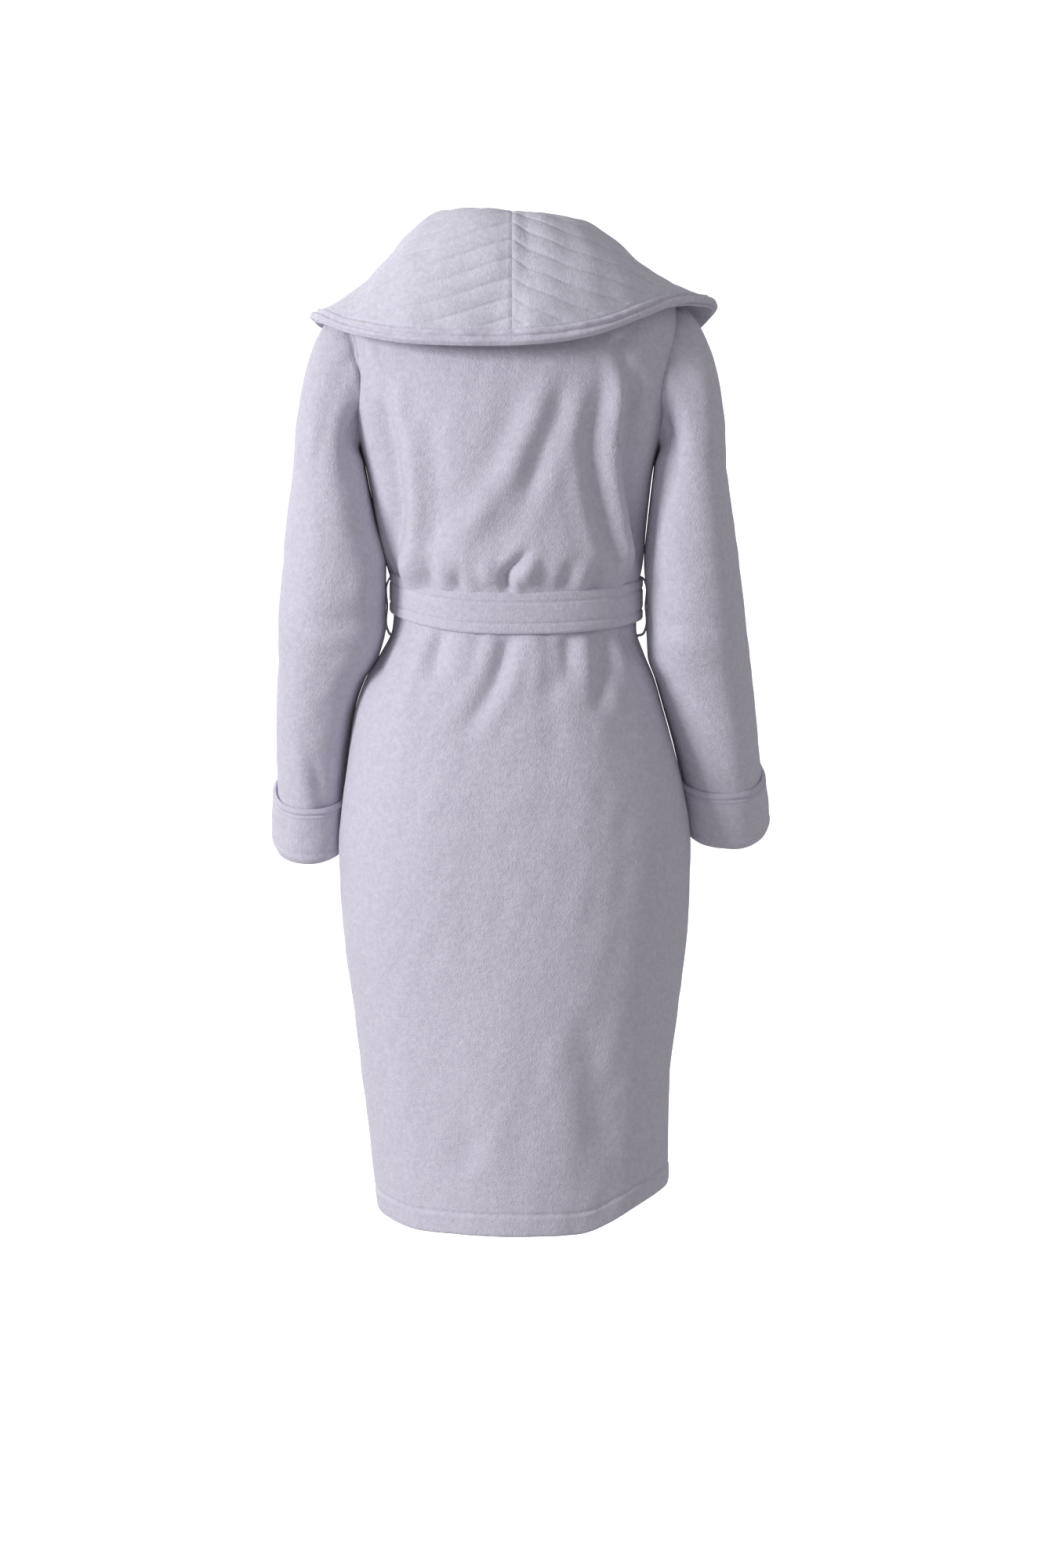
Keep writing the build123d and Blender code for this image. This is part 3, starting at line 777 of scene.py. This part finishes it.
def sleeveGrid(side):
    phi = np.linspace(0, 360, sleeveColumns, endpoint=False)
    a = np.radians(phi)
    start = armholeLoop(side, phi)
    end = sleeveRing(side, phi, np.full(phi.shape, float(headDrop)))
    reach = np.linalg.norm(end - start, axis=-1)
    top, back, under = np.clip(np.cos(a), 0, 1), np.abs(np.sin(a)), np.clip(-np.cos(a), 0, 1)
    # the cloth leaves the armhole outwards over the shoulder and straight down at the armpit
    out = side * (headOut[side] * top + 70 * back + 10 * under)
    leave = np.stack([out, 26 * np.sin(a), -22 * top - 75 * back - 16 * under], axis=-1) * mm
    arrive = np.stack([0 * a, 0 * a, -1.1 * reach], axis=-1)
    # it starts just inside the seam
    places = np.concatenate([[-0.03], np.linspace(0, 1, 56)[:-1]])
    rise, leaving, arriving = curveShares(places[:, None, None])
    head = start * (1 - rise) + end * rise + leave * leaving + arrive * arriving
    drops = np.linspace(headDrop, cuffEnd[side] - 8, 120)
    tube = sleeveRing(side, phi[None], np.broadcast_to(drops[:, None], (len(drops), len(phi))))
    grid = np.concatenate([head, tube])
    turns = np.broadcast_to(phi[None], grid.shape[:2])
    level = -grid[..., 2] / mm
    amount = 0.9 * waves(grid, 0.1, 41 + side, (0.8, 0.8, 2)) + 0.3 * waves(grid, 0.03, 51 + side)
    for at, drop, height, wide, tall, slant in sleeveFolds[side]:
        off = (turns - at + slant * (level - drop) + 180) % 360 - 180
        amount = amount + height * np.exp(-((off / wide) ** 2) - ((level - drop) / tall) ** 2)
    # puckers all round the seam
    rows = np.arange(len(grid))[:, None]
    amount = amount + 1.5 * np.exp(-rows / 9.0) * np.cos(np.radians(turns * 17)) * (rows > 1)
    calm = 1 - 0.85 * hump(turns, 180, 24)
    amount = calm * amount * smoothStep(0, 4, rows) - 2.2 * stitchLine(rows - 2.0, 1.2)
    return shiftAlongNormals(grid, amount * mm, ring=True)


def cuffBand(side, fromDrop, toDrop, step, stand, rollIn=0):
    # a band round the sleeve's end; stand is how far off the sleeve, rollIn how far its lower edge turns in
    drops = np.concatenate([np.arange(fromDrop, toDrop, step), [toDrop]])
    phi = np.linspace(0, 360, sleeveColumns, endpoint=False)
    down = np.broadcast_to(drops[:, None], (len(drops), len(phi)))
    grow = stand - rollIn * smoothStep(cuffEnd[side] - 7, cuffEnd[side], down)
    grid = sleeveRing(side, np.broadcast_to(phi[None], down.shape), down, grow)
    shift = 0.8 * waves(grid, 0.07, 61 + side) + 0.25 * waves(grid, 0.02, 63 + side)
    return shiftAlongNormals(grid, shift * mm, ring=True), down


def makeSleeve(side):
    word = sideWord[side]
    piece = clothMesh("sleeve" + word.title(), sleeveGrid(side), fleeceThick * mm, ring=True)
    addPiece(piece, "sleeve_" + word, None, "fleece")
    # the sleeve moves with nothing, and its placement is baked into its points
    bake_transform(piece)


def makeCuff(side):
    # the turned-back cuff, with its lower edge rolled in to the sleeve's end
    word = sideWord[side]
    body = "sleeve_" + word
    bottom, top = cuffEnd[side], cuffEnd[side] - cuff["tall"]
    grid, down = cuffBand(side, top + 5, bottom - 2, 1.5, cuff["stand"], 3.0)
    thick = cuff["thick"] - 1.2 * stitchLine(down - bottom + 12, 1.8)
    piece = clothMesh("cuff" + word.title(), grid, thick * mm, ring=True)
    addPiece(piece, "cuff_" + word, body, "fleece")

    # two soft welts along the cuff's top edge
    grid, down = cuffBand(side, top - 2, top + 8, 0.8, cuff["stand"] - 0.4)
    fold = np.abs(np.sin(math.pi * (down - top + 2) / 5.2))
    piece = clothMesh("cuffWelts" + word.title(), grid, (2.8 + 3.6 * fold) * mm, ring=True)
    addPiece(piece, "cuff_piping_" + word, body, "piping")


def makeSleeves():
    for side in (left, right):
        makeSleeve(side)
        makeCuff(side)


# ---- collar ----

# for each half, from the back seam round to the front: the roll, and the outer edge
collarCurves = {
    left: {
        "roll": ((0, 66, 36), (28, 62, 38), (56, 46, 37), (76, 18, 33), (82, -10, 22), (74, -48, -10), (56, -82, -62),
                 (28, -112, -140), (0, -124, -225), (-32, -128, -330)),
        "edge": ((0, 138, -103), (60, 136, -103), (118, 126, -100), (176, 88, -90), (220, 12, -76), (210, -60, -86),
                 (172, -108, -126), (128, -132, -205), (84, -134, -275), (18, -134, -352)),
    },
    right: {
        "roll": ((0, 66, 36), (28, 62, 35), (56, 46, 29), (76, 18, 20), (84, -10, 8), (76, -48, -18), (56, -80, -66),
                 (28, -104, -140), (0, -112, -225), (-32, -114, -330)),
        "edge": ((0, 138, -103), (50, 135, -99), (96, 124, -90), (140, 98, -74), (178, 60, -60), (223, 4, -60),
                 (176, -100, -126), (128, -124, -205), (84, -124, -275), (18, -122, -352)),
    },
}
collar = {
    "columns": 420, "rows": 190, "thick": 5.0, "underThick": 3.6, "rim": 19,
    "ribGap": 21.5, "ribSlope": 0.5, "ribDeep": 2.6, "ribWide": 1.6, "ribPuff": 0.8,
}


def collarSpine(side):
    # the roll and the outer edge of one half, as rows of places in metres
    mirror = np.array([side, 1, 1]) * mm
    curves = collarCurves[side]
    return [throughPoints(curves[name], collar["columns"]) * mirror for name in ("roll", "edge")]


def collarFall(side, share):
    # from the roll (share 0) over to the outer edge (share 1)
    roll, edge = collarSpine(side)
    chord = edge - roll
    reach = np.linalg.norm(chord, axis=-1, keepdims=True)
    out = unit(chord * np.array([1, 1, 0]))
    along = np.linspace(0, 1, collar["columns"])[:, None]
    droop = 1 - 0.75 * smoothStep(0.16, 0.42, along) + 0.25 * smoothStep(0.5, 0.7, along)
    leave = chord * (1 - droop) + (out + np.array([0, 0, 0.28])) * reach * droop
    leave = leave + np.array([0, 0, 0.35]) * reach * (1 - droop)
    arrive = chord * (1 - droop) + np.array([0, 0, -1.0]) * reach * droop + out * 0.1 * reach
    rise, leaving, arriving = curveShares(share[:, None, None])
    return roll * (1 - rise) + edge * rise + leave * leaving + arrive * arriving


def outwardOf(grid):
    # normals turned away from the wearer's neck
    normal = unit(np.cross(np.gradient(grid, axis=0), np.gradient(grid, axis=1)))
    lean = normal * (grid - np.array([0, 0, -0.25]))
    return normal if lean.sum() > 0 else -normal


def collarUneven(grid, side, u, w):
    # the soft swell of a thick collar, so that it doesn't look pressed
    swell = 2.2 * waves(grid, 0.12, 71 + side) + 0.7 * waves(grid, 0.04, 73 + side)
    return swell * smoothStep(0, 0.12, w) * smoothStep(0, 0.03, u)


def collarStand(side, steps, inset=0.0):
    # from the neck seam up to the roll, on the side next to the neck
    roll, edge = collarSpine(side)
    out = unit((edge - roll) * np.array([1, 1, 0]))
    along = np.linspace(0, 1, collar["columns"])[:, None]
    toBody = 1 - smoothStep(0.38, 0.62, along)
    seam = roll - out * (6 * toBody - 6 * (1 - toBody)) * mm
    seam[:, 2:] = roll[:, 2:] * (1 - toBody) + -4 * mm * toBody
    seam = seam - out * inset * mm
    foot = roll + out * 16 * mm + np.array([0, 0, -3]) * mm
    seam = seam * toBody + (foot - np.array([0, -5, 0]) * mm) * (1 - toBody)
    t = np.linspace(0, 1, steps)[:, None, None]
    bulge = -out * 1.5 * mm * np.sin(math.pi * t) * toBody
    return seam * (1 - t) + (roll - out * inset * mm * (1 - t)) * t + bulge


def resampleDown(grid, values, rows):
    # grid and values at fractional rows of each column; rows run from 0 to 1
    count = grid.shape[0]
    place = np.clip(rows, 0, 1) * (count - 1)
    i = np.clip(place.astype(int), 0, count - 2)
    t = (place - i)[..., None]
    j = np.broadcast_to(np.arange(grid.shape[1])[None], i.shape)
    points = grid[i, j] * (1 - t) + grid[i + 1, j] * t
    return points, values[i, j] * (1 - t[..., 0]) + values[i + 1, j] * t[..., 0]


def collarCloth(side):
    # the whole middle of one half, and how far each place is down from the roll and along from the back seam
    columns = collar["columns"]
    share = np.linspace(0, 1, collar["rows"])
    u = np.broadcast_to(np.linspace(0, 1, columns)[None], (len(share), columns))
    w = np.broadcast_to(share[:, None], u.shape)
    whole = collarFall(side, share)
    whole = whole + outwardOf(whole) * (collarUneven(whole, side, u, w) * mm)[..., None]
    steps = np.linalg.norm(np.diff(whole, axis=0), axis=-1)
    down = np.concatenate([np.zeros((1, columns)), steps.cumsum(axis=0)]) / mm
    middle = whole[100]
    run = np.concatenate([[0], np.linalg.norm(np.diff(middle, axis=0), axis=-1).cumsum()]) / mm
    return whole, down, run[None]


def ribbedThick(down, run):
    # sewn channels that rise to the back seam, with the cloth puffed between them
    toEdge = down[-1][None] - down
    phase = (down - collar["ribSlope"] * run + 6) / collar["ribGap"]
    fromRib = np.abs(phase - np.round(phase)) * collar["ribGap"]
    ribs = stitchLine(fromRib, collar["ribWide"]) * smoothStep(0, 2, toEdge - collar["rim"])
    puff = collar["ribPuff"] * np.cos(2 * math.pi * phase)
    thick = collar["thick"] - collar["ribDeep"] * ribs - puff * smoothStep(0, 4, toEdge - collar["rim"])
    return thick - 2.0 * stitchLine(run + 0 * down, 2.0)


def makeRibbedCollar(side, whole, thick, keep):
    rows = np.linspace(0, 1, 150)[:, None]
    grid, thickness = resampleDown(whole, thick, rows * keep[None])
    stand = collarStand(side, 9)
    shift = grid[0] - stand[-1]
    neck = stand[:-1] + shift[None] * np.linspace(0, 1, 8)[:, None, None]
    grid = np.concatenate([neck, grid])
    thickness = np.concatenate([np.full(neck.shape[:2], 4.0), thickness])
    word = sideWord[side]
    piece = clothMesh("collar" + word.title(), grid, thickness * mm)
    addPiece(piece, "collar_" + word, "root", "ribbed_fleece")


def makeCollarRim(side, whole, thick, keep):
    # two welts side by side along the outer edge
    place = np.linspace(0, 1, 22)[:, None]
    rows = keep[None] + (1 - keep)[None] * np.linspace(0.02, 1, 22)[:, None]
    grid, _ = resampleDown(whole, thick, rows)
    lumps = 1 + 0.22 * waves(grid, 0.022, 81 + side) * (place < 0.5)
    fold = np.abs(np.sin(2 * math.pi * place)) ** 0.8 * lumps
    word = sideWord[side]
    piece = clothMesh("collarRim" + word.title(), grid, (3.0 + 6.0 * fold) * mm)
    addPiece(piece, "collar_rim_" + word, "root", "collar_rim")


def makeUnderCollar(side, whole, thick):
    # one cloth below the ribbed one, and its neck seam just outside the ribbed one's inner face
    rows = np.linspace(0.0, 0.985, 70)[:, None] * np.ones((1, collar["columns"]))
    grid, _ = resampleDown(whole, thick, rows)
    grid = grid - outwardOf(grid) * (5.6 * smoothStep(-0.02, 0.06, rows) * mm)[..., None]
    grid = grid[:, ::2]
    foot = collarStand(side, 3, -4.5)[0]
    neck = grid[:1] + np.linspace(1, 0, 9)[:-1, None, None] * (foot[::2] - grid[0])
    grid = np.concatenate([neck, grid])
    word = sideWord[side]
    piece = clothMesh("underCollar" + word.title(), grid, collar["underThick"] * mm)
    addPiece(piece, "under_collar_" + word, "root", "fleece")


def makeCollar():
    for side in (left, right):
        whole, down, run = collarCloth(side)
        thick = ribbedThick(down, run)
        keep = 1 - (collar["rim"] - 1.5) / np.maximum(down[-1], 60)  # the ribbed cloth ends under the rim
        makeRibbedCollar(side, whole, thick, keep)
        makeCollarRim(side, whole, thick, keep)
        makeUnderCollar(side, whole, thick)


makePockets()
makeSleeves()
makeCollar()


# ---- belt, knot and tails ----

beltLook = {"gap": 2.0, "thick": 5.4, "stitchIn": 9}
tail = {"thick": 5.2, "stitchIn": 7, "hem": 16}
strip = {"wide": 11, "thick": 2.2, "rows": 70, "columns": 12}  # the belt loops
beltRise = {left: 17, right: 9}  # how much higher the belt is at each side than at the back


def beltRing(turns, down):
    # the belt's middle, which rises a little at the sides; down is mm from its middle line
    grid = bodyPoint(turns, np.full(turns.shape, beltDrop))
    a = np.radians(turns)
    out = np.stack([np.sin(a), np.cos(a), 0 * a], axis=-1)
    overWrap = (wrapGap + 2.5) * smoothStep(95, 130, np.abs(turns))
    lift = fleeceThick / 2 + beltLook["gap"] + beltLook["thick"] / 2 + overWrap
    lift = lift + 0.6 * waves(grid, 0.09, 91) + 0.012 * down * np.cos(3 * a)
    grid = grid + out * (lift * mm)[..., None]
    rise = np.where(a > 0, beltRise[left], beltRise[right])
    grid[..., 2] = beltMiddle - down * mm + rise * mm * np.abs(np.sin(a)) ** 2.5
    return grid


def makeBelt():
    halfTall = (beltHigh.z - beltLow.z) / mm / 2 - 2.5
    around = np.linspace(0, 360, 420, endpoint=False)
    turns, down = np.meshgrid(around, np.linspace(-halfTall, halfTall, 36))
    turns = (turns + 180) % 360 - 180
    grid = beltRing(turns, down)
    stitches = stitchLine(np.abs(down) - halfTall + beltLook["stitchIn"], 1.5)
    piece = clothMesh("beltBand", grid, (beltLook["thick"] - 2.4 * stitches) * mm, ring=True)
    knot = makeKnot()
    addPiece(piece, "belt", "belt", "belt_fleece")
    addPiece(knot, "belt_knot", "belt", "belt_fleece")
    makeTails()
    makeLoops()


def makeKnot():
    # a half knot: the band is squeezed to a lump, with one turn of it wrapped over the middle
    low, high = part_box("belt_knot")
    centre, half = np.array((low + high) / 2), np.array((high - low) / 2)
    u, v = np.meshgrid(np.linspace(0, 2 * math.pi, 120, endpoint=False), np.linspace(-1, 1, 80))
    profile = (1 - np.abs(v) ** 3.2) ** 0.42
    wrap = hump(v, 0.02, 0.34)
    shape = profile * (0.8 + 0.2 * wrap)
    x = v * half[0] * 0.96
    bothEnds = 1 - 0.22 * hump(np.abs(v), 0.55, 0.14)
    y = np.sin(u) * half[1] * shape * bothEnds
    z = np.cos(u) * half[2] * shape * bothEnds
    creases = 1.4 * np.cos(4 * u + 2.5 * v) * (1 - wrap) * profile
    creases = creases + 1.0 * np.cos(7 * u - 3 * v) * wrap * profile
    y, z, lean = y + creases * mm * np.sin(u), z + creases * mm * np.cos(u), z * 0.12 * wrap
    grid = np.stack([x + lean, y, z], axis=-1) + centre
    faces, rows, cols = [], *grid.shape[:2]
    for i in range(rows - 1):
        for j in range(cols):
            k = (j + 1) % cols
            faces.append((i * cols + j, i * cols + k, (i + 1) * cols + k, (i + 1) * cols + j))
    faces.append(tuple(range(cols))[::-1])
    faces.append(tuple((rows - 1) * cols + j for j in range(cols)))
    piece = newPiece("beltKnot", grid.reshape(-1, 3).tolist(), faces)
    tidyNormals(piece)
    return piece


def makeTails():
    for side in (left, right):
        word = sideWord[side]
        low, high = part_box("belt_tail_" + word)
        middle = np.array((low + high) / 2)
        long, wide = high.z - low.z, high.x - low.x
        # s runs down the tail and c across it
        s, c = np.meshgrid(np.linspace(0, 1, 150), np.linspace(-1, 1, 26), indexing="ij")
        narrow = 1 - 0.30 * (1 - smoothStep(0, 0.16, s))
        x = middle[0] + c * (wide / 2 - 1.5 * mm) * narrow
        curl = 1.6 * np.cos(2.4 * s * math.pi + side) * smoothStep(0.05, 0.3, s)
        curl = curl + 2.2 * c * c * (1 - smoothStep(0, 0.3, s))
        y = middle[1] + curl * mm
        z = high.z - 1.5 * mm - s * (long - 4.2 * mm) + 2.0 * mm * c * side * s
        grid = np.stack([x, y, z], axis=-1)
        fromSide = (1 - np.abs(c)) * wide / 2 / mm
        fromEnd = (1 - s) * long / mm
        thick = tail["thick"] - 1.6 * stitchLine(fromSide - tail["stitchIn"], 1.5)
        thick = thick - 1.6 * stitchLine(fromEnd - tail["hem"], 1.6)
        piece = clothMesh("beltTail" + word.title(), grid, thick * mm)
        body = "belt_tail_" + word
        addPiece(piece, body, body, "belt_fleece")


def makeLoops():
    # a narrow strip at each side that the belt passes through
    for side in (left, right):
        word = sideWord[side]
        low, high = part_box("belt_loop_" + word)
        top, bottom = high.z - 1.5 * mm, low.z + 1.5 * mm
        reach = abs(bodyPoint(90 * side, beltDrop)[0]) + 12.2 * mm
        rootTop = abs(bodyPoint(90 * side, -top / mm)[0]) + 1.5 * mm
        rootBottom = abs(bodyPoint(90 * side, -bottom / mm)[0]) + 1.5 * mm
        route = [
            (rootTop, top), (reach - 3 * mm, top - 2 * mm), (reach, top - 8 * mm), (reach, (top + bottom) / 2),
            (reach, bottom + 8 * mm), (reach - 3 * mm, bottom + 2 * mm), (rootBottom, bottom),
        ]
        x, z, _ = throughPoints([(x, z, 0) for x, z in route], strip["rows"]).T[:, :, None]
        y = np.linspace(-strip["wide"] / 2, strip["wide"] / 2, strip["columns"]) * mm + (low.y + high.y) / 2
        grid = np.stack(np.broadcast_arrays(side * x, y, z), axis=-1)
        fromStitch = np.abs(np.linspace(-1, 1, strip["columns"])) * 5.5 - 3.6
        thick = strip["thick"] - 0.7 * stitchLine(fromStitch, 0.8)[None] * np.ones((strip["rows"], 1))
        piece = clothMesh("beltLoop" + word.title(), grid, thick * mm)
        addPiece(piece, "belt_loop_" + word, "root", "piping")


# ---- hanging loop and neck label ----


def softSquare(v):
    # squares off a circle's sine or cosine
    return np.sign(v) * np.abs(v) ** 0.42


def makeHangerLoop():
    low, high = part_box("hanger_loop")
    half, y = (high.x - low.x) / 2 - 3.5 * mm, (low.y + high.y) / 2
    top, bottom = high.z - 3.5 * mm, low.z + 3.5 * mm
    turn = np.radians(np.linspace(0, 360, 160, endpoint=False))
    z = (top + bottom) / 2 + (top - bottom) / 2 * softSquare(np.cos(turn))
    path = np.stack([half * softSquare(np.sin(turn)), y + 0 * turn, z], axis=-1)
    wide = np.linspace(-3.4, 3.4, 7) * mm
    tangent = unit(np.roll(path, -1, axis=0) - np.roll(path, 1, axis=0))
    across = unit(np.cross(tangent, np.array([0, 1, 0])))
    grid = path[None] + across[None] * wide[:, None, None]
    grid[..., 1] += 0.5 * mm * np.cos(3 * turn)[None]
    piece = clothMesh("hangerLoop", grid, 1.5 * mm, ring=True)
    addPiece(piece, "hanger_loop", "hanger", "hanger_tape")


def makeNeckLabel():
    low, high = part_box("neck_label")
    x = np.linspace(low.x + 0.6 * mm, high.x - 0.6 * mm, 60)
    z = np.linspace(high.z - 0.6 * mm, low.z + 0.6 * mm, 24)
    across, up = np.meshgrid(x, z)
    bend = (across / high.x) ** 2
    grid = np.stack([across, high.y - 1.0 * mm - bend * (high.y - low.y - 2.2 * mm), up], axis=-1)
    fromEdge = np.minimum((high.x - np.abs(across)) / mm, np.minimum(high.z - up, up - low.z) / mm)
    thick = 1.1 - 0.5 * stitchLine(fromEdge - 2.4, 0.6)
    piece = clothMesh("neckLabel", grid, thick * mm)
    addPiece(piece, "neck_label", "root", "label_satin")


makeBelt()
makeHangerLoop()
makeNeckLabel()
print("pieces made", len(pieces))
